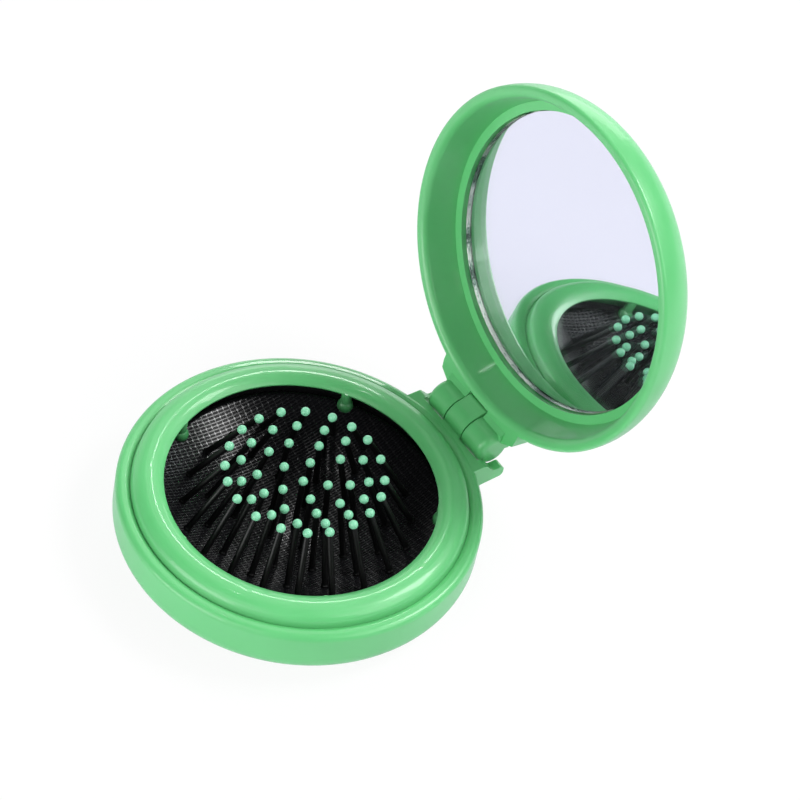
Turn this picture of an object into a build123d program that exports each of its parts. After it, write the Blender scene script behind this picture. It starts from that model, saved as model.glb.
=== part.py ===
from build123d import *
from math import cos, hypot, radians, sin, sqrt
import os

os.makedirs("parts", exist_ok=True)

# Folding round hairbrush with a mirror in its lid. Millimetres, +Z up, +Y towards the hinge.
# The origin is the centre of the base's rest face. The lid is drawn closed and then turned open.

# Shared outline
outer_r = 33.0            # base and lid are the same size across
base_depth = 12.6         # rest face to the closing plane
rim_drop = 0.35           # base rim below the closing plane
rim_gap = 0.95            # base rim to lid rim when closed
lid_depth = 11.3          # closing plane to the lid's back

# Base shell
rim_width = 2.55          # rim, measured across at the groove round the bezel
rim_round = 1.2
rim_inner_round = 0.9
groove_in = 0.6           # the rim's inner slope is this wide
groove_depth = 0.3        # rim top to the bottom of the groove
wall = 2.0
floor_thickness = 2.0
bevel_in = 5.0            # the lower wall slopes in by this much
bevel_up = 4.4
bevel_round = 4.0
foot_round = 1.5

# Rubber pad
pad_thickness = 1.0
pad_drop = 4.3            # closing plane to the top of the pad's flange
bowl_depth = 5.6          # flange top to the bottom of the bowl
bowl_margin = 1.5         # bowl edge to the rib under the flange
pad_edge_gap = 0.35       # flange edge to the base wall
rib_width = 2.0           # ring that carries the flange under the pegs
shelf_width = 1.2         # step in the wall that carries the flange's edge

# Bezel ring
bezel_fit = 0.05          # bezel to rim, radial
bezel_width = 5.8
bezel_underside = 0.75    # flat underside above the closing plane
bezel_lip = 0.27          # thickness of the inner edge
crown_in = 1.4            # inner corner of the crown outside the inner edge
crown_rise = 2.18         # inner corner of the crown above the closing plane
crown_round = 3.0
shoulder_in = 1.8         # outer corner of the crown inside the outer edge
shoulder_rise = 1.9
shoulder_round = 2.8
side_in = 0.45            # corner of the bezel's side inside its outer edge
side_rise = 1.55          # the same corner above the groove
side_round = 1.5
haunch_in = 1.3           # the underside slopes to the skirt over this width
haunch_drop = 1.15
skirt_width = 1.55
clamp_width = 2.45
clamp_height = 1.0
peg_inset = 0.9           # peg axis outside the bezel's inner edge
peg_angles = (53, 127, 204, 270, 336)
peg_neck_r = 1.0
peg_head_r = 1.5
peg_gap = 0.05            # peg head to the pad

# Bristles
pin_r = 0.58
pin_length = 12.6         # pad surface to the centre of the tip
pin_hole_gap = 0.05
pin_head_r = 1.1
pin_head_height = 0.5
pin_head_drop = 0.25      # head below the pad's lower face, leaves room for its tilt
tip_r = 0.85
socket_gap = 0.02
socket_end = 0.1
ring_names = ("ring_1", "ring_2", "ring_3", "ring_4")
ring_counts = (5, 10, 15, 20)
ring_feet = (0.230, 0.478, 0.704, 0.896)    # radius at the pad, as a share of the bowl's
ring_leans = (3.9, 12.3, 21.9, 30.5)        # degrees towards the axis
ring_starts = (-18.9, -18.0, 8.6, 1.8)      # angle of each ring's first pin
disc_ring_count = 2                         # rings whose heads lie in the push disc

# Push disc
disc_margin = 0.75        # disc edge outside the heads of its outer ring of pins
disc_gap = 0.35           # disc to the finger hole in the base's floor
disc_recess = 0.3         # disc above the rest face
disc_edge_round = 0.5
glue = 0.15               # adhesive film between disc and pad
glue_inset = 0.2          # film edge inside the disc's edge
pocket_gap = 0.15

# Hinge
hinge_out = 3.8           # hinge axis outside the base and lid walls
hinge_below = 0.19        # hinge axis below the closing plane
barrel_r = 3.45
barrel_half = 8.3         # half the length of the three knuckles together
middle_half = 2.5         # half the length of the base's knuckle
knuckle_gap = 0.3
knuckle_round = 1.3
lug_lean = 63.4           # the base's knuckle has a corner in this direction, from +Y
lug_spread = 44.0         # its two flats touch the barrel this far either side
lug_round = 0.9
web_in = 4.3              # web from the lid's knuckles ends this far inside the hinge axis
web_foot = 178.0          # where the web leaves the barrel, in degrees from +Y
pin_bore_r = 0.95
hinge_pin_r = 0.9
bore_end = 1.0            # plastic left at the closed end of the bore
ledge_half = 10.5         # half the length of the ledge behind the rim
ledge_out = 0.1           # ledge past the base wall
ledge_below = 0.45        # ledge top below the closing plane
ledge_height = 5.0
ear_width = 2.0
ear_reach = 5.05          # ears past the ledge
ear_shoulder = 2.5        # the ear top falls over this length
ear_fall = 2.2
ear_end = 2.4             # height of the ear's end
ear_round = 0.9

# Lid
open_angle = 100.7        # the lid stands open at rest
lid_round = 9.3           # outer rounding between wall and back
lid_rim_round = 0.8
lip_width = 2.1           # rim, measured across
lip_round = 1.5           # inner rounding of the rim
well_taper = 1.7          # the inner wall narrows by this much towards the mirror
mirror_ledge = 1.7        # width of the ledge around the mirror
ledge_depth = 7.0         # closing plane to the ledge around the mirror
mirror_depth = 7.9        # closing plane to the front of the glass
glass_thickness = 1.3
silver_thickness = 0.05
foam_thickness = 0.65
glass_gap = 0.1
foam_inset = 2.1          # foam edge inside the glass pocket
block_half = 11.3         # half the width of the hinge block at the lid wall
block_tip_half = 11.0
block_root_in = 1.3       # flare begins inside the lid wall
block_tip_out = 0.4       # flare ends outside the lid wall
block_neck_out = 2.0      # block is as narrow as the knuckles from here on
block_height = 4.2        # closing plane to the top of the block
notch_in = 1.0            # the slot for the base's knuckle cuts this far into the wall

# Derived heights and radii
close_z = base_depth
rim_top = close_z - rim_drop
rim_r = outer_r - rim_width
foot_r = outer_r - bevel_in
groove_z = rim_top - groove_depth
crest_r = rim_r + groove_in
bezel_r = rim_r - bezel_fit
bezel_inner_r = bezel_r - bezel_width
bezel_low = close_z + bezel_underside
skirt_r = bezel_r - skirt_width
peg_ring_r = bezel_inner_r + peg_inset
rib_r = peg_ring_r - rib_width / 2
flange_top = close_z - pad_drop
flange_bottom = flange_top - pad_thickness
bowl_bottom = flange_top - bowl_depth
bowl_edge = rib_r - bowl_margin
bowl_r = (bowl_edge**2 + bowl_depth**2) / (2 * bowl_depth)
bowl_centre = bowl_bottom + bowl_r
under_r = bowl_r + pad_thickness
clamp_top = flange_top + clamp_height
head_room_r = pin_head_r + pocket_gap
disc_r = ring_feet[disc_ring_count - 1] * bowl_edge + head_room_r + disc_margin
finger_hole_r = disc_r + disc_gap
hinge_y = outer_r + hinge_out
hinge_z = close_z - hinge_below
ledge_y = outer_r + ledge_out
lip_r = outer_r - lip_width
well_r = lip_r - well_taper
pocket_r = well_r - mirror_ledge
glass_r = pocket_r - glass_gap
foam_r = pocket_r - foam_inset
lid_rim = rim_gap - rim_drop
block_root_y = hinge_y - 3 * barrel_r
notch_y = outer_r - notch_in
slot_half = middle_half + knuckle_gap
outward = Axis((0, hinge_y, hinge_z), (-1, 0, 0))


def turned(*corners):
    """Solid turned about Z from corners (radius, height) or (radius, height, rounding)."""
    points = [corner[:2] for corner in corners]
    roundings = [corner[2] if len(corner) > 2 else 0 for corner in corners]
    outline = FilletPolyline(*points, radius=roundings, close=True)
    return revolve(Plane.XZ * make_face(outline), Axis.Z)


def side_plate(x_from, x_to, *corners):
    """Plate between two X planes from corners (y, z) or (y, z, rounding)."""
    points = [corner[:2] for corner in corners]
    roundings = [corner[2] if len(corner) > 2 else 0 for corner in corners]
    outline = FilletPolyline(*points, radius=roundings, close=True)
    return extrude(Plane.YZ.offset(x_from) * make_face(outline), x_to - x_from)


def along_x(radius, x_from, x_to):
    """Cylinder on the hinge axis between two X planes."""
    middle = (x_from + x_to) / 2
    return Pos(middle, hinge_y, hinge_z) * Rot(0, 90, 0) * Cylinder(radius, x_to - x_from)


def round_axis(distance, angle):
    """Point (y, z) at a distance from the hinge axis, in a direction from +Y."""
    return (hinge_y + distance * cos(radians(angle)), hinge_z + distance * sin(radians(angle)))


def knuckle(x_from, x_to):
    """Barrel of the hinge between two X planes, with rounded end edges."""
    barrel = along_x(barrel_r, x_from, x_to)
    return fillet(barrel.edges().filter_by(GeomType.CIRCLE), knuckle_round)


def pin_places(count, foot_share, lean, start):
    """Places of one ring of pins, each on the pad's upper face with Z along the pin."""
    foot_r = foot_share * bowl_edge
    foot_z = bowl_centre - sqrt(bowl_r**2 - foot_r**2)
    tilt = radians(lean)
    places = []
    for i in range(count):
        angle = radians(start + 360 * i / count)
        foot = (foot_r * cos(angle), foot_r * sin(angle), foot_z)
        axis = (-sin(tilt) * cos(angle), -sin(tilt) * sin(angle), cos(tilt))
        places.append(Plane(origin=foot, z_dir=axis).location)
    return places


centre_place = Pos(0, 0, bowl_bottom)
rings = [pin_places(*ring) for ring in zip(ring_counts, ring_feet, ring_leans, ring_starts)]
all_places = [centre_place] + [place for ring in rings for place in ring]
disc_places = [centre_place] + [place for ring in rings[:disc_ring_count] for place in ring]
head_top = -(pad_thickness + pin_head_drop)


def rod(radius, z_from, z_to):
    """Upright cylinder between two heights."""
    return Pos(0, 0, (z_from + z_to) / 2) * Cylinder(radius, z_to - z_from)


def bristle_pin():
    """One pin with its head under the pad."""
    head = rod(pin_head_r, head_top - pin_head_height, head_top)
    return rod(pin_r, head_top - pin_head_height / 2, pin_length) + head


def bristle_tip():
    """Ball tip with a blind socket for the pin."""
    socket = rod(pin_r + socket_gap, pin_length - tip_r, pin_length + socket_end)
    return Pos(0, 0, pin_length) * Sphere(tip_r) - socket


def group(shape, places):
    """Copies of one solid as a group."""
    return Compound([place * shape for place in places])


def base_shell():
    """Round base: rolled rim, sloping lower wall, floor with the finger hole, hinge ledge."""
    slope = hypot(bevel_in, bevel_up)
    inner_foot = foot_r + (floor_thickness - wall * bevel_in / slope) * bevel_in / bevel_up
    inner_foot -= wall * bevel_up / slope
    inner_r = rim_r - shelf_width
    inner_bevel_z = floor_thickness + (inner_r - inner_foot) * bevel_up / bevel_in
    shell = turned(
        (finger_hole_r, 0),
        (foot_r, 0, foot_round),
        (outer_r, bevel_up, bevel_round),
        (outer_r, rim_top, rim_round),
        (crest_r, rim_top, rim_inner_round),
        (rim_r, groove_z),
        (rim_r, flange_bottom),
        (inner_r, flange_bottom),
        (inner_r, inner_bevel_z),
        (inner_foot, floor_thickness),
        (finger_hole_r, floor_thickness),
    )
    rib = turned(
        (rib_r, floor_thickness / 2),
        (rib_r + rib_width, floor_thickness / 2),
        (rib_r + rib_width, flange_bottom),
        (rib_r, flange_bottom),
    )
    bored_out = turned(
        (0, floor_thickness),
        (rim_r, floor_thickness),
        (rim_r, groove_z),
        (crest_r, rim_top),
        (0, rim_top),
    )
    ledge_top = close_z - ledge_below
    ledge = side_plate(
        -ledge_half,
        ledge_half,
        (rim_r - rim_width, ledge_top),
        (ledge_y, ledge_top, 0.3),
        (ledge_y, ledge_top - ledge_height),
        (rim_r - rim_width, ledge_top - ledge_height),
    )
    ear_top = ledge_top - ear_fall
    ear_y = ledge_y + ear_reach
    ear = side_plate(
        ledge_half - ear_width,
        ledge_half,
        (ledge_y - wall, ledge_top),
        (ledge_y + 0.5, ledge_top, ear_round),
        (ledge_y + ear_shoulder, ear_top, ear_round),
        (ear_y, ear_top, ear_round),
        (ear_y, ear_top - ear_end, ear_round),
        (ledge_y - wall, ledge_top - ledge_height),
    )
    arm = side_plate(
        -middle_half,
        middle_half,
        (ledge_y - wall, ledge_top - ledge_height),
        (ledge_y - wall, ledge_top),
        (ledge_y, ledge_top),
        (hinge_y, hinge_z),
        (hinge_y, hinge_z - barrel_r),
    )
    lug = side_plate(
        -middle_half,
        middle_half,
        (hinge_y, hinge_z),
        round_axis(barrel_r, lug_lean + lug_spread),
        (*round_axis(barrel_r / cos(radians(lug_spread)), lug_lean), lug_round),
        round_axis(barrel_r, lug_lean - lug_spread),
    )
    middle = along_x(barrel_r, -middle_half, middle_half) + lug
    hinge = ledge + ear + mirror(ear, Plane.YZ) + arm + middle
    return shell + rib + (hinge - bored_out) - along_x(pin_bore_r, -middle_half - 1, middle_half + 1)


def bezel_ring():
    """Domed ring in the rim, with a skirt and five round-headed pegs."""
    ring = turned(
        (bezel_inner_r, bezel_low),
        (bezel_inner_r, bezel_low + bezel_lip),
        (bezel_inner_r + crown_in, close_z + crown_rise, crown_round),
        (bezel_r - shoulder_in, close_z + shoulder_rise, shoulder_round),
        (bezel_r - side_in, groove_z + side_rise, side_round),
        (bezel_r, groove_z),
        (bezel_r, clamp_top),
        (skirt_r, clamp_top),
        (skirt_r, bezel_low - haunch_drop),
        (skirt_r - haunch_in, bezel_low),
    )
    head_z = flange_top + peg_gap + peg_head_r
    neck = rod(peg_neck_r, head_z, bezel_low + bezel_lip)
    peg = neck + Pos(0, 0, head_z) * Sphere(peg_head_r)
    for angle in peg_angles:
        ring += Rot(0, 0, angle) * Pos(peg_ring_r, 0, 0) * peg
    return ring


def pad_clamp_ring():
    """Flat ring that holds the pad's flange down."""
    inner = bezel_r - clamp_width
    return turned((inner, flange_top), (bezel_r, flange_top), (bezel_r, clamp_top), (inner, clamp_top))


def bowl_face(sphere_r):
    """Ball whose lower face is one spherical face of the bowl."""
    return Pos(0, 0, bowl_centre) * Sphere(sphere_r)


def rubber_pad():
    """Rubber sheet: flat flange, spherical bowl, and a hole for each pin."""
    flange_r = rim_r - pad_edge_gap
    flange = rod(flange_r, flange_bottom, flange_top)
    bowl = bowl_face(under_r) & rod(flange_r, bowl_bottom - pad_thickness - 1, flange_top)
    sheet = flange + bowl - bowl_face(bowl_r)
    holes = [place * rod(pin_r + pin_hole_gap, -3 * pad_thickness, 3 * pad_thickness) for place in all_places]
    return sheet - Compound(holes)


def head_pockets(depth):
    """Room for the pin heads over the push disc."""
    pocket = rod(head_room_r, head_top - pin_head_height - depth, 0)
    return Compound([place * pocket for place in disc_places])


def push_disc():
    """Disc under the pad, dished to follow the bowl, with a pocket for each pin head."""
    blank = turned(
        (0, disc_recess),
        (disc_r, disc_recess, disc_edge_round),
        (disc_r, flange_bottom),
        (0, flange_bottom),
    )
    return blank - bowl_face(under_r + glue) - head_pockets(pocket_gap)


def pad_adhesive():
    """Film between the push disc and the pad."""
    blank = rod(disc_r - glue_inset, disc_recess, flange_bottom)
    film = (blank & bowl_face(under_r + glue)) - bowl_face(under_r)
    return film - head_pockets(pocket_gap)


def lid_z(depth):
    """Height of a level of the closed lid, given from the closing plane."""
    return close_z + depth


def lid_block():
    """Hinge block of the closed lid: flared at the wall, narrowing to the knuckles."""
    low = lid_z(lid_rim)
    side = [
        (block_half, block_root_y),
        (block_half, outer_r - block_root_in),
        (block_tip_half, outer_r + block_tip_out),
        (barrel_half, outer_r + block_neck_out),
        (barrel_half, hinge_y + barrel_r),
    ]
    other_side = [(-x, y) for x, y in reversed(side)]
    plan = make_face(Polyline(*side, *other_side, close=True))
    column = extrude(Plane.XY.offset(low) * plan, block_height)
    section = side_plate(
        -block_half,
        block_half,
        (block_root_y, low),
        (hinge_y, low),
        (hinge_y, hinge_z + barrel_r),
        (outer_r + block_tip_out, lid_z(block_height)),
        (block_root_y, lid_z(block_height)),
    )
    return column & section


def lid_shell():
    """Lid with its mirror recess, hinge block and two knuckles, drawn closed."""
    seat = mirror_depth + glass_thickness
    back_inside = seat + silver_thickness + foam_thickness
    shell = turned(
        (0, lid_z(lid_depth)),
        (outer_r, lid_z(lid_depth), lid_round),
        (outer_r, lid_z(lid_rim), lid_rim_round),
        (lip_r, lid_z(lid_rim), lip_round),
        (well_r, lid_z(ledge_depth)),
        (pocket_r, lid_z(ledge_depth)),
        (pocket_r, lid_z(seat + silver_thickness)),
        (foam_r + glass_gap, lid_z(seat + silver_thickness)),
        (foam_r + glass_gap, lid_z(back_inside)),
        (0, lid_z(back_inside)),
    )
    recess = turned(
        (0, lid_z(0)),
        (outer_r - lid_rim_round, lid_z(0)),
        (outer_r - lid_rim_round, lid_z(lid_rim)),
        (lip_r, lid_z(lid_rim), lip_round),
        (well_r, lid_z(ledge_depth)),
        (0, lid_z(ledge_depth)),
    )
    slot_end = hinge_y + 2 * barrel_r
    slot_top = lid_z(block_height + lid_rim)
    slot = side_plate(
        -slot_half,
        slot_half,
        (notch_y, hinge_z - 2 * barrel_r),
        (slot_end, hinge_z - 2 * barrel_r),
        (slot_end, slot_top),
        (notch_y, slot_top),
    )
    web = side_plate(
        -barrel_half,
        barrel_half,
        (hinge_y, lid_z(lid_rim)),
        (hinge_y - web_in, lid_z(lid_rim)),
        round_axis(barrel_r, web_foot),
        (hinge_y, hinge_z),
    )
    block = (lid_block() + web) - recess
    block += knuckle(-barrel_half, barrel_half)
    bore = along_x(pin_bore_r, -barrel_half - 1, barrel_half - bore_end)
    return shell + block - slot - bore


def lid_disc(radius, depth, thickness):
    """Flat disc in the closed lid, given from the closing plane."""
    return rod(radius, lid_z(depth), lid_z(depth + thickness))


def hinge_pin():
    """Steel pin through the three knuckles."""
    return along_x(hinge_pin_r, -barrel_half + bore_end / 2, barrel_half - bore_end - knuckle_gap)


def opened(shape):
    """The closed lid's shape turned to the open rest position."""
    return shape.rotate(outward, open_angle)


pin = bristle_pin()
tip = bristle_tip()
silver_depth = mirror_depth + glass_thickness
foam_depth = silver_depth + silver_thickness

nodes = {
    "base_shell": base_shell(),
    "bezel_ring": bezel_ring(),
    "pad_clamp_ring": pad_clamp_ring(),
    "rubber_pad": rubber_pad(),
    "push_disc": push_disc(),
    "pad_adhesive": pad_adhesive(),
    "pin_centre": group(pin, [centre_place]),
    "tip_centre": group(tip, [centre_place]),
    "hinge_pin": opened(hinge_pin()),
    "lid_shell": opened(lid_shell()),
    "mirror_glass": opened(lid_disc(glass_r, mirror_depth, glass_thickness)),
    "mirror_silver": opened(lid_disc(glass_r, silver_depth, silver_thickness)),
    "mirror_foam": opened(lid_disc(foam_r, foam_depth, foam_thickness)),
}
for name, places in zip(ring_names, rings):
    nodes["pins_" + name] = group(pin, places)
    nodes["tips_" + name] = group(tip, places)

for name, shape in nodes.items():
    export_step(shape, "parts/" + name + ".step")
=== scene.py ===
"""Looks of a round folding hairbrush: moulded green shells, mesh-textured rubber pad,
black pins with mint tips and a small glass mirror, with floor, light and camera.

All lengths in the classes are millimetres in the part's frame, except where a name ends
in _m; meshes are written in metres.
"""

import logging
import math
from dataclasses import dataclass, field
from enum import Enum
from typing import Any, Sequence

import bmesh
import bpy
import numpy as np
from mathutils import Matrix, Vector


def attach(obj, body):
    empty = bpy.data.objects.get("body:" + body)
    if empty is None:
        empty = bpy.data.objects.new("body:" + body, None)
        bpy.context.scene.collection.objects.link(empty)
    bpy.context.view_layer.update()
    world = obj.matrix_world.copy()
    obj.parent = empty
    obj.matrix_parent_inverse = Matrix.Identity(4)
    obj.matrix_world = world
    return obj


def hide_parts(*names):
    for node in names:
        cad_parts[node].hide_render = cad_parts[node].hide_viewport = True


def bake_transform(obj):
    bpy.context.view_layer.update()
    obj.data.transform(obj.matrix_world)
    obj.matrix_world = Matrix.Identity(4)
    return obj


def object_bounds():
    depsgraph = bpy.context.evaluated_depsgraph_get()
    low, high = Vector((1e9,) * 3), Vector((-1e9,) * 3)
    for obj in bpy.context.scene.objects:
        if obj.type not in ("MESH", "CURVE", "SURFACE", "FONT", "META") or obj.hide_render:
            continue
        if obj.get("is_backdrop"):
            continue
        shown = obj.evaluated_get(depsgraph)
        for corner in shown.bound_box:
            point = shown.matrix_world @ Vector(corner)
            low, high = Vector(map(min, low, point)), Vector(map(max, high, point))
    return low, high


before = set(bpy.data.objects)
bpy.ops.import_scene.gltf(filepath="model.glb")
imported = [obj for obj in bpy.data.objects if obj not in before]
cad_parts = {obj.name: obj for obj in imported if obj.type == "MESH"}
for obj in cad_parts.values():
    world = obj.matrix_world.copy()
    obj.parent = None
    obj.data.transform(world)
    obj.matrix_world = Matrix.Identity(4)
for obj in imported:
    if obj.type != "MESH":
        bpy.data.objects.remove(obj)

MM = 0.001
MERGE_M = 1e-7  # points nearer than this are one point of a closed seam or pole
LOG = logging.getLogger("hairbrush")


# ---------------------------------------------------------------- small helpers


def linear(hex_colour: str) -> tuple[float, float, float, float]:
    """Turns an sRGB hex colour into linear RGBA.

    Args:
        hex_colour: Six hex digits after a hash.

    Returns:
        Linear red, green and blue, and an alpha of 1.
    """
    digits = hex_colour.lstrip("#")
    srgb = np.array([int(digits[i : i + 2], 16) / 255 for i in (0, 2, 4)])
    low = srgb / 12.92
    high = ((srgb + 0.055) / 1.055) ** 2.4
    rgb = np.where(srgb <= 0.04045, low, high)
    return float(rgb[0]), float(rgb[1]), float(rgb[2]), 1.0


def new_material(name: str) -> tuple[bpy.types.Material, bpy.types.NodeTree]:
    """Starts a material with an empty node tree.

    Args:
        name: Name of the finish.

    Returns:
        The material and its tree.
    """
    material = bpy.data.materials.new(name)
    material.use_nodes = True
    material.node_tree.nodes.clear()
    return material, material.node_tree


def add_node(
    tree: bpy.types.NodeTree,
    kind: str,
    settings: dict[str | int, Any] | None = None,
    links: dict[str | int, bpy.types.NodeSocket] | None = None,
) -> bpy.types.Node:
    """Adds one node with its settings and links.

    Args:
        tree: Node tree that gets the node.
        kind: Blender's type name of the node.
        settings: Values by input socket name, input index or node attribute.
        links: Output sockets to connect, by input socket name or index.

    Returns:
        The new node.
    """
    node = tree.nodes.new(kind)
    for key, value in (settings or {}).items():
        if isinstance(key, str) and hasattr(node, key) and key not in node.inputs:
            setattr(node, key, value)
        else:
            node.inputs[key].default_value = value
    for key, socket in (links or {}).items():
        tree.links.new(socket, node.inputs[key])
    return node


def per_metre(size_mm: float) -> float:
    """Texture scale whose features repeat about every size_mm."""
    return 1 / (size_mm * MM)


def set_ramp(node: bpy.types.Node, stops: Sequence[tuple[float, tuple]]) -> None:
    """Gives a colour ramp its stops.

    Args:
        node: The colour ramp.
        stops: Each a position from 0 to 1 and a linear colour.
    """
    ramp = node.color_ramp
    while len(ramp.elements) < len(stops):
        ramp.elements.new(0.5)
    for element, (position, colour) in zip(ramp.elements, stops):
        element.position = position
        element.color = colour


# ---------------------------------------------------------------- surfaces


def rounded_outline(corners: Sequence[tuple], step_deg: float = 7.5) -> np.ndarray:
    """Polyline through corners, each with its own rounding.

    A rounding of radius r replaces its corner by the arc that touches both sides; the arc's
    points are spaced evenly in angle.

    Args:
        corners: Rows (a, b) or (a, b, rounding) in millimetres; ends stay sharp.
        step_deg: Turn between two points of an arc.

    Returns:
        Points as an array (n, 2).
    """
    flat = np.array([c[:2] for c in corners], float)
    rounding = [c[2] if len(c) > 2 else 0.0 for c in corners]
    runs = []
    for i, (p, r) in enumerate(zip(flat, rounding)):
        if not r or i in (0, len(flat) - 1):
            runs.append(p[None])
            continue
        to_last = flat[i - 1] - p
        to_next = flat[i + 1] - p
        u = to_last / np.linalg.norm(to_last)
        v = to_next / np.linalg.norm(to_next)
        half = math.acos(np.clip(u @ v, -1, 1)) / 2
        centre = p + (u + v) / np.linalg.norm(u + v) * r / math.sin(half)
        start = p + u * r / math.tan(half) - centre
        turn = math.pi - 2 * half
        sign = -1.0 if u[0] * v[1] - u[1] * v[0] > 0 else 1.0
        count = max(2, int(math.ceil(math.degrees(turn) / step_deg)) + 1)
        t = np.linspace(0, turn, count) * sign
        c, s = np.cos(t), np.sin(t)
        arc = np.stack([start[0] * c - start[1] * s, start[0] * s + start[1] * c], 1)
        runs.append(centre + arc)
    return np.concatenate(runs)


def turned_grid(outline: np.ndarray, segments: int) -> np.ndarray:
    """Carries an outline (radius, height) round Z.

    Point (i, j) is the outline's point i turned by 360 j / segments degrees.

    Args:
        outline: Points (n, 2) in millimetres.
        segments: Steps round the axis.

    Returns:
        Grid (n, segments, 3).
    """
    angle = np.arange(segments) * 2 * math.pi / segments
    radius, height = outline[:, :1], outline[:, 1:]
    return np.stack(
        [radius * np.cos(angle), radius * np.sin(angle), height + 0 * angle], axis=2
    )


def grid_faces(rows: int, columns: int, first: int) -> np.ndarray:
    """Quads of a grid that closes along its columns and is open along its rows.

    Args:
        rows: Points along the outline.
        columns: Points round the axis.
        first: Index of the grid's first vertex in the mesh.

    Returns:
        Vertex numbers (faces, 4).
    """
    i = np.arange(rows - 1)[:, None]
    j = np.arange(columns)[None]
    ni, nj = i + 1, (j + 1) % columns
    quads = np.stack([i * columns + j, i * columns + nj, ni * columns + nj, ni * columns + j])
    return quads.reshape(4, -1).T + first


@dataclass
class Shape:
    """Growing mesh: vertices in millimetres with quads and their material numbers."""

    vertices: list[np.ndarray] = field(default_factory=list)
    quads: list[np.ndarray] = field(default_factory=list)
    numbers: list[np.ndarray] = field(default_factory=list)
    count: int = 0

    def add_grid(self, grid: np.ndarray, number: int = 0) -> None:
        """Adds one grid that closes round its columns.

        Args:
            grid: Points (rows, columns, 3) in millimetres.
            number: Material number of the grid's faces.
        """
        rows, columns = grid.shape[:2]
        faces = grid_faces(rows, columns, self.count)
        self.vertices.append(grid.reshape(-1, 3))
        self.quads.append(faces)
        self.numbers.append(np.full(len(faces), number))
        self.count += rows * columns

    def build(
        self, name: str, finishes: Sequence[bpy.types.Material], sharp_deg: float
    ) -> bpy.types.Object:
        """Writes the mesh, closes its poles, turns its faces outward and smooths it.

        Args:
            name: Name of the new piece.
            finishes: Materials by number.
            sharp_deg: Edges that turn by more than this stay sharp.

        Returns:
            The new object, with its place in its mesh.
        """
        mesh = bpy.data.meshes.new(name)
        points = np.concatenate(self.vertices) * MM
        mesh.from_pydata(points.tolist(), [], np.concatenate(self.quads).tolist())
        numbers = np.concatenate(self.numbers).astype(np.int32)
        mesh.polygons.foreach_set("material_index", numbers)
        work = bmesh.new()
        work.from_mesh(mesh)
        bmesh.ops.remove_doubles(work, verts=work.verts, dist=MERGE_M)
        bmesh.ops.recalc_face_normals(work, faces=work.faces)
        work.to_mesh(mesh)
        work.free()
        for finish in finishes:
            mesh.materials.append(finish)
        mesh.polygons.foreach_set("use_smooth", np.ones(len(mesh.polygons), bool))
        mesh.set_sharp_from_angle(angle=math.radians(sharp_deg))
        mesh.update()
        piece = bpy.data.objects.new(name, mesh)
        bpy.context.scene.collection.objects.link(piece)
        return piece


# ---------------------------------------------------------------- finishes


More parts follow.
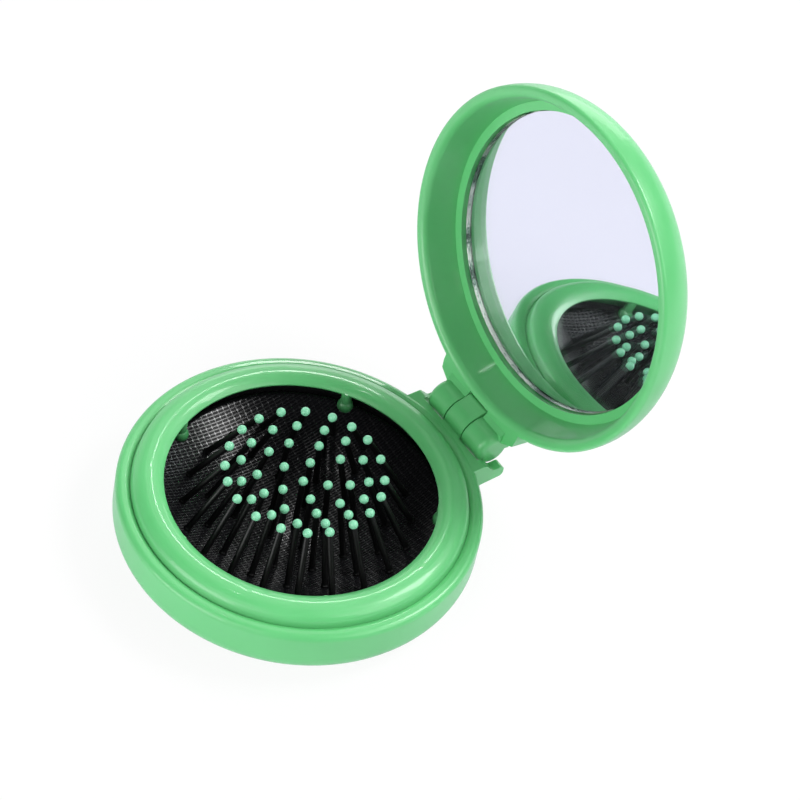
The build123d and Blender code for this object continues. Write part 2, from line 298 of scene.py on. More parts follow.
@dataclass(frozen=True)
class MouldedShell:
    """Injection-moulded polystyrene or ABS, polished mould, dyed through.

    Gives the eye a clean candy-like gloss over a slightly cloudy body colour, with the very
    shallow waviness of a thin moulding. The skin is the hard gloss that the mould leaves on
    the satin body, and the glow is light that comes back from inside. Below the heights of
    painted_shade_mm the body colour darkens to a deep green: painted shade for peg feet that
    sit in the dark pocket under the bezel.
    """

    name: str = "moulded_green_abs"
    colour: str = "#64c67b"
    cloud: str = "#5ec075"
    cloud_stops: tuple[float, float] = (0.3, 0.7)
    # Painted shade: the deep colour that the body darkens to below the heights of
    # painted_shade_mm.
    deep: str = "#1f5c33"
    painted_shade_mm: tuple[float, float] = (-2.0, -1.0)
    ior: float = 1.54
    gloss: float = 0.5
    roughness: float = 0.42
    roughness_spread: float = 0.03
    skin: float = 0.28
    skin_roughness: float = 0.06
    cloud_mm: float = 14.0
    wave_mm: float = 5.0
    wave_depth_mm: float = 0.006
    grain_mm: float = 0.35
    grain_depth_mm: float = 0.0012
    glow: float = 0.12
    glow_depth_mm: float = 1.2
    glow_colours: tuple[float, float, float] = (0.5, 1.0, 0.6)

    def make(self) -> bpy.types.Material:
        """Builds the material.

        Returns:
            The finished material.
        """
        material, tree = new_material(self.name)
        place = add_node(tree, "ShaderNodeTexCoord").outputs["Object"]
        cloud, wave, grain = (
            add_node(
                tree,
                "ShaderNodeTexNoise",
                {"Scale": per_metre(size_mm), "Detail": detail},
                {"Vector": place},
            ).outputs["Fac"]
            for size_mm, detail in (
                (self.cloud_mm, 2.0),
                (self.wave_mm, 1.0),
                (self.grain_mm, 2.0),
            )
        )
        dye = add_node(tree, "ShaderNodeValToRGB", links={"Fac": cloud})
        first, last = self.cloud_stops
        set_ramp(dye, [(first, linear(self.cloud)), (last, linear(self.colour))])
        # Painted shade: below painted_shade_mm the body colour fades to the deep shade colour.
        sides = add_node(tree, "ShaderNodeSeparateXYZ", links={0: place})
        low, high = self.painted_shade_mm
        out_of_painted_shade = add_node(
            tree,
            "ShaderNodeMapRange",
            {"From Min": low * MM, "From Max": high * MM},
            {"Value": sides.outputs["Z"]},
        )
        body = add_node(
            tree,
            "ShaderNodeMix",
            {"data_type": "RGBA", 6: linear(self.deep)},
            {0: out_of_painted_shade.outputs["Result"], 7: dye.outputs["Color"]},
        )
        ripple = add_node(
            tree,
            "ShaderNodeBump",
            {"Strength": 1.0, "Distance": self.wave_depth_mm * MM},
            {"Height": wave},
        )
        skin = add_node(
            tree,
            "ShaderNodeBump",
            {"Strength": 1.0, "Distance": self.grain_depth_mm * MM},
            {"Height": grain, "Normal": ripple.outputs["Normal"]},
        )
        satin = add_node(
            tree,
            "ShaderNodeMapRange",
            {
                "To Min": self.roughness - self.roughness_spread,
                "To Max": self.roughness + self.roughness_spread,
            },
            {"Value": cloud},
        )
        shader = add_node(
            tree,
            "ShaderNodeBsdfPrincipled",
            {
                "IOR": self.ior,
                "Specular IOR Level": self.gloss,
                "Coat Weight": self.skin,
                "Coat Roughness": self.skin_roughness,
                "Subsurface Weight": self.glow,
                "Subsurface Radius": self.glow_colours,
                "Subsurface Scale": self.glow_depth_mm * MM,
            },
            {
                "Base Color": body.outputs[2],
                "Roughness": satin.outputs["Result"],
                "Normal": skin.outputs["Normal"],
            },
        )
        add_node(tree, "ShaderNodeOutputMaterial", links={"Surface": shader.outputs["BSDF"]})
        return material


@dataclass(frozen=True)
class PlainPlastic:
    """Solid-coloured nylon or polypropylene with a faint moulded grain.

    Gives the eye a soft satin highlight along thin pieces. Foam tape and adhesive film are
    made from it too, with a deeper grain for their cells and streaks.
    """

    name: str
    colour: str
    roughness: float
    grain_mm: float = 0.4
    grain_depth_mm: float = 0.002
    ior: float = 1.53
    roughness_spread: float = 0.05

    def make(self) -> bpy.types.Material:
        """Builds the material.

        Returns:
            The finished material.
        """
        material, tree = new_material(self.name)
        place = add_node(tree, "ShaderNodeTexCoord").outputs["Object"]
        grain = add_node(
            tree,
            "ShaderNodeTexNoise",
            {"Scale": per_metre(self.grain_mm), "Detail": 3.0},
            {"Vector": place},
        )
        bump = add_node(
            tree,
            "ShaderNodeBump",
            {"Strength": 1.0, "Distance": self.grain_depth_mm * MM},
            {"Height": grain.outputs["Fac"]},
        )
        satin = add_node(
            tree,
            "ShaderNodeMapRange",
            {
                "To Min": self.roughness - self.roughness_spread,
                "To Max": self.roughness + self.roughness_spread,
            },
            {"Value": grain.outputs["Fac"]},
        )
        shader = add_node(
            tree,
            "ShaderNodeBsdfPrincipled",
            {"Base Color": linear(self.colour), "IOR": self.ior},
            {"Roughness": satin.outputs["Result"], "Normal": bump.outputs["Normal"]},
        )
        add_node(tree, "ShaderNodeOutputMaterial", links={"Surface": shader.outputs["BSDF"]})
        return material


@dataclass(frozen=True)
class MeshRubber:
    """Black rubber sheet cured against an open woven cloth.

    Gives the eye a net of fine grey threads with a bright knot at every other crossing, which
    shows where the sheet mirrors a lamp and sinks into black elsewhere. The threads are drawn
    somewhat wider than real ones, so that they show at the distance the brush is seen from.
    """

    name: str = "woven_face_black_rubber"
    colour: str = "#131315"
    crown: str = "#19191c"
    crown_stops: tuple[float, float] = (0.2, 0.9)
    pair_mm: float = 1.12
    row_mm: float = 1.2
    thread_mm: float = 0.3
    knot_mm: float = 0.6
    knot_flat: float = 0.08
    row_height: float = 0.45
    thread_height: float = 0.6
    weave_depth_mm: float = 0.012
    worn_mm: float = 6.0
    roughness: float = 0.24
    roughness_spread: float = 0.06
    thread_gloss: float = 0.58
    hole_gloss: float = 0.04
    ior: float = 1.6

    def weave(
        self, tree: bpy.types.NodeTree, place: bpy.types.NodeSocket
    ) -> bpy.types.NodeSocket:
        """Height of the weave, from 0 in the holes to 1 on the knots.

        The place is counted in pairs of threads across X and in rows along Y, cut to its
        fraction, and measured from one half: u and v then run from 0 to 0.5. A thread lies
        where u is 0 or 0.5, a row where v is 0.5, a knot where u is 0 and v is 0.5. Each
        rises by a smooth step from its edge to its middle, and the highest of them counts.

        Args:
            tree: Node tree that gets the nodes.
            place: Place on the sheet in metres.

        Returns:
            Socket with the height.
        """
        cells = add_node(
            tree,
            "ShaderNodeVectorMath",
            {
                "operation": "MULTIPLY",
                1: (per_metre(self.pair_mm), per_metre(self.row_mm), 0.0),
            },
            {0: place},
        )
        part = add_node(
            tree,
            "ShaderNodeVectorMath",
            {"operation": "FRACTION"},
            {0: cells.outputs["Vector"]},
        )
        offset = add_node(
            tree,
            "ShaderNodeVectorMath",
            {"operation": "SUBTRACT", 1: (0.5, 0.5, 0.0)},
            {0: part.outputs["Vector"]},
        )
        away = add_node(
            tree,
            "ShaderNodeVectorMath",
            {"operation": "ABSOLUTE"},
            {0: offset.outputs["Vector"]},
        )
        sides = add_node(tree, "ShaderNodeSeparateXYZ", links={0: away.outputs["Vector"]})
        between = add_node(
            tree,
            "ShaderNodeMath",
            {"operation": "SUBTRACT", 1: 0.25},
            {0: sides.outputs["X"]},
        )
        beside = add_node(
            tree, "ShaderNodeMath", {"operation": "ABSOLUTE"}, {0: between.outputs["Value"]}
        )
        knot_line = add_node(
            tree,
            "ShaderNodeVectorMath",
            {"operation": "SUBTRACT", 1: (0.0, 0.5, 0.0)},
            {0: away.outputs["Vector"]},
        )
        to_knot = add_node(
            tree,
            "ShaderNodeVectorMath",
            {"operation": "LENGTH"},
            {0: knot_line.outputs["Vector"]},
        )
        thread, row, knot = (
            add_node(
                tree,
                "ShaderNodeMapRange",
                {"interpolation_type": "SMOOTHSTEP", "From Min": edge, "From Max": middle},
                {"Value": value},
            ).outputs["Result"]
            for value, edge, middle in (
                (beside.outputs["Value"], 0.25 - self.thread_mm / self.pair_mm / 2, 0.25),
                (sides.outputs["Y"], 0.5 - self.thread_mm / self.row_mm / 2, 0.5),
                (to_knot.outputs["Value"], self.knot_mm / self.row_mm / 2, self.knot_flat),
            )
        )
        low_row, low_thread = (
            add_node(
                tree, "ShaderNodeMath", {"operation": "MULTIPLY", 1: height}, {0: line}
            ).outputs["Value"]
            for line, height in ((row, self.row_height), (thread, self.thread_height))
        )
        net = add_node(
            tree, "ShaderNodeMath", {"operation": "MAXIMUM"}, {0: low_row, 1: low_thread}
        )
        return add_node(
            tree, "ShaderNodeMath", {"operation": "MAXIMUM"}, {0: net.outputs["Value"], 1: knot}
        ).outputs["Value"]

    def make(self) -> bpy.types.Material:
        """Builds the material: the weave lifts, lightens and polishes the rubber.

        Returns:
            The finished material.
        """
        material, tree = new_material(self.name)
        place = add_node(tree, "ShaderNodeTexCoord").outputs["Object"]
        weave = self.weave(tree, place)
        worn = add_node(
            tree,
            "ShaderNodeTexNoise",
            {"Scale": per_metre(self.worn_mm), "Detail": 3.0},
            {"Vector": place},
        )
        tint = add_node(tree, "ShaderNodeValToRGB", links={"Fac": weave})
        first, last = self.crown_stops
        set_ramp(tint, [(first, linear(self.colour)), (last, linear(self.crown))])
        bump = add_node(
            tree,
            "ShaderNodeBump",
            {"Strength": 1.0, "Distance": self.weave_depth_mm * MM},
            {"Height": weave},
        )
        shine = add_node(
            tree,
            "ShaderNodeMapRange",
            {"To Min": self.hole_gloss, "To Max": self.thread_gloss},
            {"Value": weave},
        )
        satin = add_node(
            tree,
            "ShaderNodeMapRange",
            {
                "To Min": self.roughness - self.roughness_spread,
                "To Max": self.roughness + self.roughness_spread,
            },
            {"Value": worn.outputs["Fac"]},
        )
        shader = add_node(
            tree,
            "ShaderNodeBsdfPrincipled",
            {"IOR": self.ior},
            {
                "Base Color": tint.outputs["Color"],
                "Specular IOR Level": shine.outputs["Result"],
                "Roughness": satin.outputs["Result"],
                "Normal": bump.outputs["Normal"],
            },
        )
        add_node(tree, "ShaderNodeOutputMaterial", links={"Surface": shader.outputs["BSDF"]})
        return material


@dataclass(frozen=True)
class FloatGlass:
    """Polished float glass with the faint cool cast of its iron content.

    Gives the eye a clear plate whose face mirrors sharply.
    """

    name: str = "polished_float_glass"
    colour: str = "#fbfdff"
    roughness: float = 0.0
    ior: float = 1.52

    def make(self) -> bpy.types.Material:
        """Builds the material.

        Returns:
            The finished material.
        """
        material, tree = new_material(self.name)
        shader = add_node(
            tree,
            "ShaderNodeBsdfPrincipled",
            {
                "Base Color": linear(self.colour),
                "Roughness": self.roughness,
                "IOR": self.ior,
                "Transmission Weight": 1.0,
            },
        )
        add_node(tree, "ShaderNodeOutputMaterial", links={"Surface": shader.outputs["BSDF"]})
        return material


@dataclass(frozen=True)
class GroundEdge:
    """Edge of the glass, ground with a diamond wheel and silvered along with the back.

    Gives the eye a bright band behind the glass that breaks into white, grey and dark green
    stretches, strewn with small chips. The chips are drawn coarser than real grit.
    """

    name: str = "ground_glass_edge"
    colour: str = "#f2f4ea"
    middle: str = "#8fae9a"
    dark: str = "#243f37"
    tint_stops: tuple[float, float, float] = (0.62, 0.74, 0.84)
    stretch_mm: float = 4.5
    chip_mm: float = 0.45
    chip_share: float = 0.55
    chip_depth_mm: float = 0.12
    roughness: float = 0.25
    metallic: float = 0.55

    def make(self) -> bpy.types.Material:
        """Builds the material.

        Returns:
            The finished material.
        """
        material, tree = new_material(self.name)
        place = add_node(tree, "ShaderNodeTexCoord").outputs["Object"]
        stretch, chips = (
            add_node(
                tree,
                "ShaderNodeTexNoise",
                {"Scale": per_metre(size_mm), "Detail": detail},
                {"Vector": place},
            ).outputs["Fac"]
            for size_mm, detail in ((self.stretch_mm, 1.0), (self.chip_mm, 3.0))
        )
        both = add_node(
            tree,
            "ShaderNodeMath",
            {"operation": "MULTIPLY_ADD", 1: self.chip_share},
            {0: chips, 2: stretch},
        )
        tint = add_node(tree, "ShaderNodeValToRGB", links={"Fac": both.outputs["Value"]})
        colours = [linear(shade) for shade in (self.dark, self.middle, self.colour)]
        set_ramp(tint, list(zip(self.tint_stops, colours)))
        bump = add_node(
            tree,
            "ShaderNodeBump",
            {"Strength": 1.0, "Distance": self.chip_depth_mm * MM},
            {"Height": chips},
        )
        shader = add_node(
            tree,
            "ShaderNodeBsdfPrincipled",
            {"Roughness": self.roughness, "Metallic": self.metallic},
            {"Base Color": tint.outputs["Color"], "Normal": bump.outputs["Normal"]},
        )
        add_node(tree, "ShaderNodeOutputMaterial", links={"Surface": shader.outputs["BSDF"]})
        return material


@dataclass(frozen=True)
class Metal:
    """Bare metal: silvering, or drawn steel wire with fine draw lines along X.

    Gives the eye a sharp mirror, or a grey streak along the wire.
    """

    name: str
    colour: str
    roughness: float
    line_mm: float = 0.0
    metallic: float = 1.0
    line_stretch: float = 0.02
    line_depth_mm: float = 0.002

    def make(self) -> bpy.types.Material:
        """Builds the material; without a line width it has no draw lines.

        Returns:
            The finished material.
        """
        material, tree = new_material(self.name)
        settings = {
            "Base Color": linear(self.colour),
            "Metallic": self.metallic,
            "Roughness": self.roughness,
        }
        links = {}
        if self.line_mm:
            place = add_node(tree, "ShaderNodeTexCoord").outputs["Object"]
            long_way = add_node(
                tree,
                "ShaderNodeMapping",
                {"Scale": (self.line_stretch, 1.0, 1.0)},
                {"Vector": place},
            )
            lines = add_node(
                tree,
                "ShaderNodeTexNoise",
                {"Scale": per_metre(self.line_mm), "Detail": 3.0},
                {"Vector": long_way.outputs["Vector"]},
            )
            bump = add_node(
                tree,
                "ShaderNodeBump",
                {"Strength": 1.0, "Distance": self.line_depth_mm * MM},
                {"Height": lines.outputs["Fac"]},
            )
            links["Normal"] = bump.outputs["Normal"]
        shader = add_node(tree, "ShaderNodeBsdfPrincipled", settings, links)
        add_node(tree, "ShaderNodeOutputMaterial", links={"Surface": shader.outputs["BSDF"]})
        return material


# ---------------------------------------------------------------- the brush


class Rider(Enum):
    """Body that a modelled piece moves with."""

    BASE = "base"
    PUSHER = "pusher"
    RING_3 = "ring_3"
    RING_4 = "ring_4"
    LID = "lid"


class Slot(Enum):
    """Material slot that a modelled piece takes its finish from."""

    PAD = "pad_rubber"
    PIN = "pin_black"
    TIP = "tip_mint"
    GLASS = "mirror_glass"


@dataclass(frozen=True)
class LidHinge:
    """Axis that the lid turns on, and how far it stands open at rest."""

    y: float = 36.8
    z: float = 12.41
    open_deg: float = 100.7

    def opened(self, points: np.ndarray) -> np.ndarray:
        """Turns points of the closed lid to the open rest position.

        Args:
            points: Array (..., 3) in millimetres, lid closed.

        Returns:
            The turned points.
        """
        a = -math.radians(self.open_deg)
        dy, dz = points[..., 1] - self.y, points[..., 2] - self.z
        return np.stack(
            [
                points[..., 0],
                self.y + dy * math.cos(a) - dz * math.sin(a),
                self.z + dy * math.sin(a) + dz * math.cos(a),
            ],
            axis=-1,
        )


@dataclass(frozen=True)
class PadBowl:
    """Rubber pad: a spherical bowl that ends in a bead, inside a flat clamped flange."""

    flange_top: float = 8.3
    depth: float = 5.6
    edge: float = 23.0
    bead_r: float = 26.0
    bead_run: float = 1.0
    bead_round: float = 0.7
    bead_foot_r: float = 27.5
    flange_r: float = 30.1
    flange_under: float = 3.0
    thickness: float = 1.0
    bend_height: float = 4.0
    upper_points: int = 44
    lower_points: int = 30
    lower_share: float = 0.98
    segments: int = 192
    sharp_deg: float = 50.0

    @property
    def sphere_r(self) -> float:
        """Radius of the bowl's upper face."""
        return (self.edge**2 + self.depth**2) / (2 * self.depth)

    def height(self, radius: float) -> float:
        """Height of the bowl's upper face at a distance from the axis."""
        bottom = self.flange_top - self.depth
        return bottom + self.sphere_r - math.sqrt(self.sphere_r**2 - radius**2)

    def outline(self) -> np.ndarray:
        """Section of the pad.

        The upper face is a circle arc from the axis to the bead, which falls back to the
        flange; the lower face runs one thickness below the arc, square to the sphere.

        Returns:
            Points (n, 2), from the upper centre round to the lower centre.
        """
        centre = self.flange_top - self.depth + self.sphere_r
        limit = math.asin((self.bead_r - self.bead_run) / self.sphere_r)
        t = np.linspace(0, limit, self.upper_points)
        upper = np.stack([self.sphere_r * np.sin(t), centre - self.sphere_r * np.cos(t)], 1)
        below = self.sphere_r + self.thickness
        underside = self.flange_top - self.thickness
        low_limit = math.acos((centre - self.flange_top + self.thickness) / below)
        t = np.linspace(low_limit * self.lower_share, 0, self.lower_points)
        lower = np.stack([below * np.sin(t), centre - below * np.cos(t)], 1)
        bead = rounded_outline(
            [
                tuple(upper[-1]),
                (self.bead_r, self.height(self.bead_r), self.bead_round),
                (self.bead_foot_r, self.flange_top, self.bead_round),
                (self.flange_r, self.flange_top),
                (self.flange_r, underside),
                (self.flange_r - self.flange_under, underside),
            ]
        )
        return np.concatenate([upper[:-1], bead, lower])

    def build(self, finish: bpy.types.Material) -> None:
        """Builds the pad in its rest shape; the real pad bends between the push disc and the
        base.

        Args:
            finish: Rubber of the pad.
        """
        shape = Shape()
        shape.add_grid(turned_grid(self.outline(), self.segments))
        pad = shape.build("pad_sheet", [finish], self.sharp_deg)
        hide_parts("rubber_pad")
        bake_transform(pad)
        LOG.info("rubber pad: bowl %.1f mm deep", self.depth)


@dataclass(frozen=True)
class BristleRing:
    """One ring of pins with ball tips, leaning towards the axis.

    A pin's foot stands at foot_share of the bowl's edge radius, and sway_deg turns its tip
    a little further round the axis than its foot.
    """

    label: str
    body: Rider
    count: int
    foot_share: float
    lean_deg: float
    start_deg: float
    sway_deg: tuple[float, ...]


@dataclass(frozen=True)
class Bristles:
    """All pins and tips: their shared sizes, in heights above the pad's face, and rings."""

    bowl: PadBowl
    pin_r: float = 0.58
    pin_taper: float = 0.96
    length: float = 12.6
    tip_r: float = 0.85
    tip_seat: float = 0.3
    tip_seat_share: float = 0.9
    tip_points: int = 14
    head_r: float = 1.05
    head_low: float = -1.7
    head_high: float = -1.28
    head_round: float = 0.15
    collar_r: float = 0.72
    collar_low: float = -0.1
    collar_high: float = 0.25
    collar_end: float = 0.45
    collar_rounds: tuple[float, float, float] = (0.1, 0.15, 0.3)
    arc_step_deg: float = 30.0
    sides: int = 16
    sharp_deg: float = 40.0
    pin_plastic: PlainPlastic = PlainPlastic(
        "satin_black_nylon", "#050506", 0.42, grain_mm=0.5, grain_depth_mm=0.002, ior=1.4
    )
    tip_plastic: PlainPlastic = PlainPlastic(
        "mint_ball_tips", "#88d6ae", 0.30, grain_mm=0.6, grain_depth_mm=0.001, ior=1.5
    )
    rings: tuple[BristleRing, ...] = (
        BristleRing("centre", Rider.PUSHER, 1, 0.0, 0.0, 0.0, (0.0,)),
        BristleRing("ring_1", Rider.PUSHER, 5, 0.230, 3.9, -18.9, (1.9, -5.0, 4.9, -0.1, 1.9)),
        BristleRing(
            "ring_2",
            Rider.PUSHER,
            10,
            0.478,
            12.3,
            -18.0,
            (0, -1, -3, 4, 1, 3, -3, 3, -2, -4),
        ),
        BristleRing(
            "ring_3",
            Rider.RING_3,
            15,
            0.704,
            21.9,
            8.6,
            (0.4, 0.4, -2.6, -0.6, 1.4, -0.6, 0.4, -0.6, 1.4, 0.4, 1.4, -0.6, -0.6, -0.6, 0.4),
        ),
        BristleRing(
            "ring_4",
            Rider.RING_4,
            20,
            0.896,
            30.5,
            1.8,
            (1.2, 0.2, 0.2, -1.8, 0.2, 2.2, 0.2, -1.8, 0.2, 0.2)
            + (0.2, -0.8, 0.2, 1.2, -1.8, -2.8, -0.8, 1.2, 2.2, 0.2),
        ),
    )

    def axes(self, ring: BristleRing) -> tuple[np.ndarray, np.ndarray]:
        """Foot and tip centre of each pin of a ring.

        A foot lies on the bowl at the ring's radius. Its tip lies one pin length away, leaning
        towards the axis, and turned a little further round the axis by the pin's own sway.

        Args:
            ring: The ring.

        Returns:
            Feet and tips, each (count, 3).
        """
        angle = np.radians(ring.start_deg + 360 / ring.count * np.arange(ring.count))
        swayed = angle + np.radians(np.resize(ring.sway_deg, ring.count))
        lean = math.radians(ring.lean_deg)
        foot_r = ring.foot_share * self.bowl.edge
        tip_r = foot_r - self.length * math.sin(lean)
        foot_z = self.bowl.height(foot_r)
        tip_z = foot_z + self.length * math.cos(lean)
        feet = np.stack(
            [foot_r * np.cos(angle), foot_r * np.sin(angle), np.full(ring.count, foot_z)], 1
        )
        tips = np.stack(
            [tip_r * np.cos(swayed), tip_r * np.sin(swayed), np.full(ring.count, tip_z)], 1
        )
        return feet, tips

    def along(self, outline: np.ndarray, foot: np.ndarray, tip: np.ndarray) -> np.ndarray:
        """Turns an outline (radius, distance from foot) round the line from foot to tip.

        Args:
            outline: Points (n, 2).
            foot: Start of the line.
            tip: End of the line.

        Returns:
            Grid (n, sides, 3).
        """
        axis = (tip - foot) / np.linalg.norm(tip - foot)
        side = np.cross(axis, [0.0, 1.0, 0.0])
        side /= np.linalg.norm(side)
        other = np.cross(axis, side)
        grid = turned_grid(outline, self.sides)
        return foot + grid[..., :1] * side + grid[..., 1:2] * other + grid[..., 2:] * axis

    def pin_outline(self, length: float) -> np.ndarray:
        """Half section of a pin: head under the pad, small collar on it, slight taper.

        Args:
            length: Distance from the foot to the tip's centre.

        Returns:
            Points (n, 2): radius and distance from the foot.
        """
        foot_round, shoulder_round, fade_round = self.collar_rounds
        return rounded_outline(
            [
                (0, self.head_low),
                (self.head_r, self.head_low, self.head_round),
                (self.head_r, self.head_high, self.head_round),
                (self.pin_r, self.head_high),
                (self.pin_r, self.collar_low),
                (self.collar_r, 0.0, foot_round),
                (self.collar_r, self.collar_high, shoulder_round),
                (self.pin_r, self.collar_end, fade_round),
                (self.pin_r * self.pin_taper, length),
                (0, length),
            ],
            self.arc_step_deg,
        )

    def tip_outline(self, length: float) -> np.ndarray:
        """Half section of a ball tip: a circle that starts at the pin's side.

        Args:
            length: Distance from the foot to the ball's centre.

        Returns:
            Points (n, 2): radius and distance from the foot.
        """
        start = math.asin(self.pin_r / self.tip_r)
        t = np.linspace(start, math.pi, self.tip_points)
        ball = np.stack([self.tip_r * np.sin(t), length - self.tip_r * np.cos(t)], 1)
        ball[-1, 0] = 0.0
        seat = length - self.tip_seat
        inner = np.array([(0.0, seat), (self.pin_r * self.tip_seat_share, seat)])
        return np.concatenate([inner, ball])

    def build(self) -> None:
        """Builds one piece of pins and one of tips for each ring."""
        pin_finish = self.pin_plastic.make()
        tip_finish = self.tip_plastic.make()
        for ring in self.rings:
            pins, balls = Shape(), Shape()
            for foot, tip in zip(*self.axes(ring)):
                length = float(np.linalg.norm(tip - foot))
                pins.add_grid(self.along(self.pin_outline(length), foot, tip))
                balls.add_grid(self.along(self.tip_outline(length), foot, tip))
            single = ring.label == "centre"
            pin_node = "pin_centre" if single else "pins_" + ring.label
            tip_node = "tip_centre" if single else "tips_" + ring.label
            for shape, finish, node, slot, name in (
                (pins, pin_finish, pin_node, Slot.PIN, "bristles_" + ring.label),
                (balls, tip_finish, tip_node, Slot.TIP, "ball_tips_" + ring.label),
            ):
                piece = shape.build(name, [finish], self.sharp_deg)
                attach(piece, ring.body.value)
                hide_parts(node)
            LOG.info("bristles %s: %d pins", ring.label, ring.count)


@dataclass(frozen=True)
class MirrorPlate:
    """Round glass in the lid, silvered behind, with a ground edge."""

    hinge: LidHinge
    radius: float = 27.38
    front: float = 20.5
    thickness: float = 1.3
    seam: float = 0.15
    middle_share: float = 0.5
    segments: int = 256
    sharp_deg: float = 20.0
    glass: FloatGlass = FloatGlass()
    edge: GroundEdge = GroundEdge()
    silver: Metal = Metal("mirror_silvering", "#eef5f6", 0.0, metallic=0.96)

    def build(self) -> None:
        """Builds the plate as one closed mesh: polished front, ground edge, silvered back."""
        r, c, middle_r = self.radius, self.seam, self.radius * self.middle_share
        z0, z1 = self.front, self.front + self.thickness
        faces = (
            ([(0.0, z0), (middle_r, z0), (r - c, z0)], self.glass),
            ([(r - c, z0), (r, z0 + c), (r, z1)], self.edge),
            ([(r, z1), (middle_r, z1), (0.0, z1)], self.silver),
        )
        shape = Shape()
        for number, (outline, _) in enumerate(faces):
            grid = turned_grid(np.array(outline), self.segments)
            shape.add_grid(self.hinge.opened(grid), number)
        finishes = [finish.make() for _, finish in faces]
        plate = shape.build("mirror_plate", finishes, self.sharp_deg)
        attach(plate, Rider.LID.value)
        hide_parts("mirror_glass", "mirror_silver")
        LOG.info("mirror plate: glass %.1f mm across", 2 * r)


def dress(node: str, finish: bpy.types.Material) -> None:
    """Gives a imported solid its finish.

    Args:
        node: Name of the solid's node.
        finish: Material for its whole surface.
    """
    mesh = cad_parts[node].data
    mesh.materials.clear()
    mesh.materials.append(finish)
    LOG.info("solid %s: %s", node, finish.name)


@dataclass(frozen=True)
class BaseBody:
    """Base shell with its bezel, the clamp ring under the pad and the disc that is pushed."""

    clamp: PlainPlastic = PlainPlastic("black_polypropylene", "#111113", 0.5)
    film: PlainPlastic = PlainPlastic(
        "adhesive_film", "#c9b98a", 0.4, grain_mm=0.8, grain_depth_mm=0.004
    )
    # Painted shade on the bezel ring: its green darkens from 13.2 mm down to 8.5 mm, where the
    # peg feet sit in the dark pocket under the bezel.
    painted_shade_pegs: MouldedShell = MouldedShell(name="moulded_green_abs_painted_peg_shade", painted_shade_mm=(8.5, 13.2))

    def dress(self, shell: bpy.types.Material) -> None:
        """Dresses the solids of the base.

        Args:
            shell: Plastic that base and lid share.
        """
        dress("base_shell", shell)
        dress("push_disc", shell)
        dress("bezel_ring", self.painted_shade_pegs.make())
        dress("pad_clamp_ring", self.clamp.make())
        dress("pad_adhesive", self.film.make())


@dataclass(frozen=True)
class LidBody:
    """Lid shell with the foam tape that holds the mirror, and the pin it turns on."""

    tape: PlainPlastic = PlainPlastic(
        "white_foam_tape", "#e8e8e2", 0.8, grain_mm=0.25, grain_depth_mm=0.05
    )
    wire: Metal = Metal("drawn_steel_wire", "#b9bcc0", 0.32, line_mm=0.08)

    def dress(self, shell: bpy.types.Material) -> None:
        """Dresses the solids of the lid.

        Args:
            shell: Plastic that base and lid share.
        """
        dress("lid_shell", shell)
        dress("mirror_foam", self.tape.make())
        dress("hinge_pin", self.wire.make())


# ---------------------------------------------------------------- studio


@dataclass(frozen=True)
class Softbox:
    """Soft lamp that looks at the brush from one metre away.

    Its azimuth and height are angles seen from the target, and its width and height_m the
    sides of its panel.
    """

    name: str
    azimuth_deg: float
    height_deg: float
    watts: float
    width_m: float
    height_m: float
    target_m: tuple[float, float, float] = (0.0, 0.0, 0.02)

    def build(self) -> None:
        """Hangs the lamp at its azimuth and height over the floor."""
        a, h = math.radians(self.azimuth_deg), math.radians(self.height_deg)
        place = Vector((math.cos(a) * math.cos(h), math.sin(a) * math.cos(h), math.sin(h)))
        data = bpy.data.lights.new(self.name, "AREA")
        data.shape = "RECTANGLE"
        data.size, data.size_y = self.width_m, self.height_m
        data.energy = self.watts
        lamp = bpy.data.objects.new(self.name, data)
        lamp.location = place
        lamp.rotation_mode = "QUATERNION"
        lamp.rotation_quaternion = (Vector(self.target_m) - place).to_track_quat("-Z", "Y")
        bpy.context.scene.collection.objects.link(lamp)
        LOG.info("lamp %s: %.1f W", self.name, self.watts)


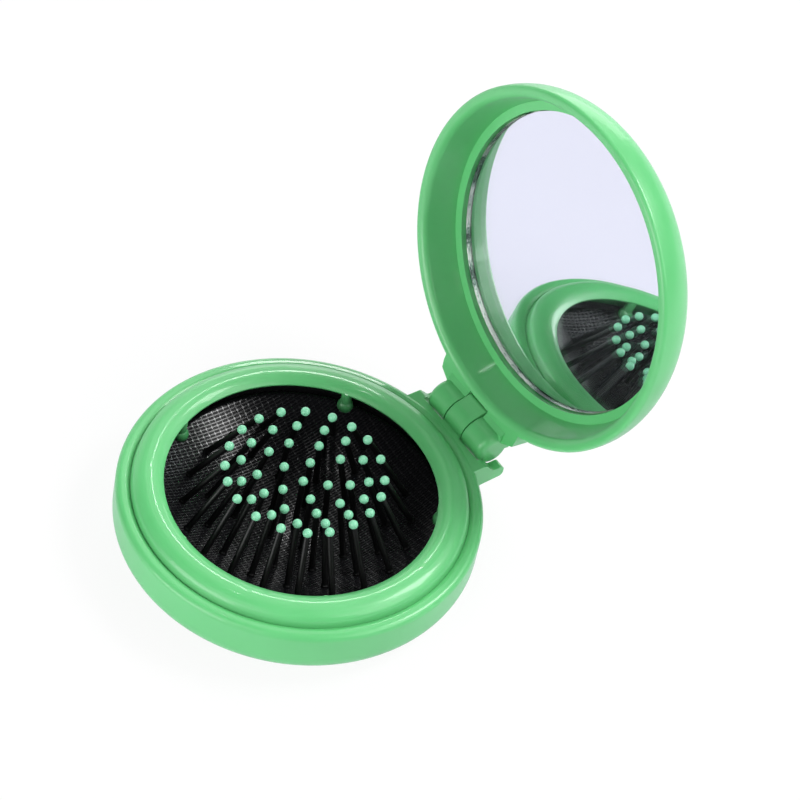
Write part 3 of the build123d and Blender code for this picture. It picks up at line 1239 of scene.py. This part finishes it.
@dataclass(frozen=True)
class Studio:
    """Pale floor, a ring of soft lamps as in a light tent, and the camera.

    The camera and glossy rays see the floor as white in part, by their shares; the rest is
    paper, which keeps the brush's shadow. Beyond it they see the room.
    """

    camera_mm: tuple[float, float, float] = (304.26, -274.24, 480.68)
    azimuth_rad: float = 0.80395
    elevation_rad: float = 0.82068
    roll_rad: float = 0.21707
    lens_mm: float = 157.5
    sensor_mm: float = 36.0
    clip_m: tuple[float, float] = (0.05, 20.0)
    floor_half_m: float = 3.0
    floor_gap_m: float = 0.0001
    paper: str = "#f4f4f6"
    white: str = "#ffffff"
    mirror_white: str = "#f6edff"
    mirror_level: float = 1.05
    camera_share: float = 0.92
    mirror_share: float = 0.8
    room_light: float = 0.03
    lamps: tuple[Softbox, ...] = (
        Softbox("key", 68.0, 52.0, 7.2, 0.38, 0.38),
        Softbox("right_high", 22.5, 40.0, 3.3, 0.6, 0.6),
        Softbox("left_high", 140.0, 48.0, 1.6, 0.7, 0.7),
        Softbox("window", 138.5, 47.0, 0.8, 0.07, 0.1),
        Softbox("front_high", 292.5, 40.0, 2.3, 0.6, 0.6),
        Softbox("front_low", 270.0, 12.0, 6.0, 0.8, 0.4),
        Softbox("back_left_low", 135.0, 12.0, 3.3, 0.8, 0.4),
        Softbox("left_low", 180.0, 12.0, 1.0, 0.8, 0.4),
        Softbox("overhead", 177.0, 77.0, 0.35, 0.05, 0.05),
    )

    def add_camera(self) -> None:
        """Places the camera from its azimuth, elevation and roll about the view line."""
        a, e, roll = self.azimuth_rad, self.elevation_rad, self.roll_rad
        back = np.array([math.sin(a) * math.cos(e), -math.cos(a) * math.cos(e), math.sin(e)])
        right = np.array([math.cos(a), math.sin(a), 0.0])
        up = np.cross(back, right)
        right, up = (
            math.cos(roll) * right + math.sin(roll) * up,
            -math.sin(roll) * right + math.cos(roll) * up,
        )
        data = bpy.data.cameras.new("camera")
        data.sensor_width = self.sensor_mm
        data.lens = self.lens_mm
        data.clip_start, data.clip_end = self.clip_m
        camera = bpy.data.objects.new("camera", data)
        turn = Matrix(np.stack([right, up, back], 1).tolist()).to_4x4()
        camera.matrix_world = Matrix.Translation(Vector(self.camera_mm) * MM) @ turn
        bpy.context.scene.collection.objects.link(camera)
        bpy.context.scene.camera = camera

    def add_floor(self) -> None:
        """Adds the floor: white to the camera and to mirrors, with the brush's soft shadow."""
        h, z = self.floor_half_m, -self.floor_gap_m
        mesh = bpy.data.meshes.new("floor")
        mesh.from_pydata([(-h, -h, z), (h, -h, z), (h, h, z), (-h, h, z)], [], [(0, 1, 2, 3)])
        floor = bpy.data.objects.new("floor", mesh)
        bpy.context.scene.collection.objects.link(floor)
        material, tree = new_material("studio_paper")
        paper = add_node(tree, "ShaderNodeBsdfDiffuse", {"Color": linear(self.paper)})
        seen, mirrored = (
            add_node(
                tree, "ShaderNodeEmission", {"Color": linear(colour), "Strength": strength}
            ).outputs["Emission"]
            for colour, strength in (
                (self.white, 1.0),
                (self.mirror_white, self.mirror_level),
            )
        )
        path = add_node(tree, "ShaderNodeLightPath").outputs
        far = add_node(
            tree,
            "ShaderNodeMath",
            {"operation": "MAXIMUM"},
            {0: path["Is Glossy Ray"], 1: path["Is Transmission Ray"]},
        )
        surface = paper.outputs["BSDF"]
        for ray, share, white in (
            (path["Is Camera Ray"], self.camera_share, seen),
            (far.outputs["Value"], self.mirror_share, mirrored),
        ):
            part = add_node(
                tree, "ShaderNodeMath", {"operation": "MULTIPLY", 1: share}, {0: ray}
            )
            surface = add_node(
                tree,
                "ShaderNodeMixShader",
                links={0: part.outputs["Value"], 1: surface, 2: white},
            ).outputs["Shader"]
        add_node(tree, "ShaderNodeOutputMaterial", links={"Surface": surface})
        mesh.materials.append(material)
        floor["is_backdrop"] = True

    def add_world(self) -> None:
        """Lights the room evenly; the camera, mirrors and glass see white beyond the floor.

        A sharp ray comes from a mirror or clear glass. Satin plastic and rubber send soft
        rays, and keep the level of the room.
        """
        world = bpy.data.worlds.new("studio")
        world.use_nodes = True
        tree = world.node_tree
        tree.nodes.clear()
        room, seen = (
            add_node(
                tree,
                "ShaderNodeBackground",
                {"Color": linear(self.white), "Strength": strength},
            ).outputs["Background"]
            for strength in (self.room_light, 1.0)
        )
        path = add_node(tree, "ShaderNodeLightPath").outputs
        share = path["Is Glossy Ray"]
        for operation, other in (
            ("MAXIMUM", path["Is Transmission Ray"]),
            ("MULTIPLY", path["Is Singular Ray"]),
            ("MAXIMUM", path["Is Camera Ray"]),
        ):
            share = add_node(
                tree, "ShaderNodeMath", {"operation": operation}, {0: share, 1: other}
            ).outputs["Value"]
        mix = add_node(tree, "ShaderNodeMixShader", links={0: share, 1: room, 2: seen})
        add_node(tree, "ShaderNodeOutputWorld", links={"Surface": mix.outputs["Shader"]})
        bpy.context.scene.world = world

    def build(self) -> None:
        """Sets up camera, floor, world and lamps."""
        self.add_camera()
        self.add_floor()
        self.add_world()
        for lamp in self.lamps:
            lamp.build()
        bpy.context.scene.view_settings.view_transform = "Standard"


def corners() -> list[list[float]]:
    """Lowest and highest corner of what is shown, as plain lists."""
    return [list(map(float, corner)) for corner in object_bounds()]


def main() -> None:
    """Builds the brush, dresses it and sets up the studio."""
    logging.basicConfig(level=logging.INFO, format="%(name)s: %(message)s")
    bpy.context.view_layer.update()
    shell = MouldedShell().make()
    bowl = PadBowl()
    BaseBody().dress(shell)
    bowl.build(MeshRubber().make())
    Bristles(bowl).build()
    LidBody().dress(shell)
    MirrorPlate(LidHinge()).build()
    Studio().build()


if __name__ == "__main__":
    main()
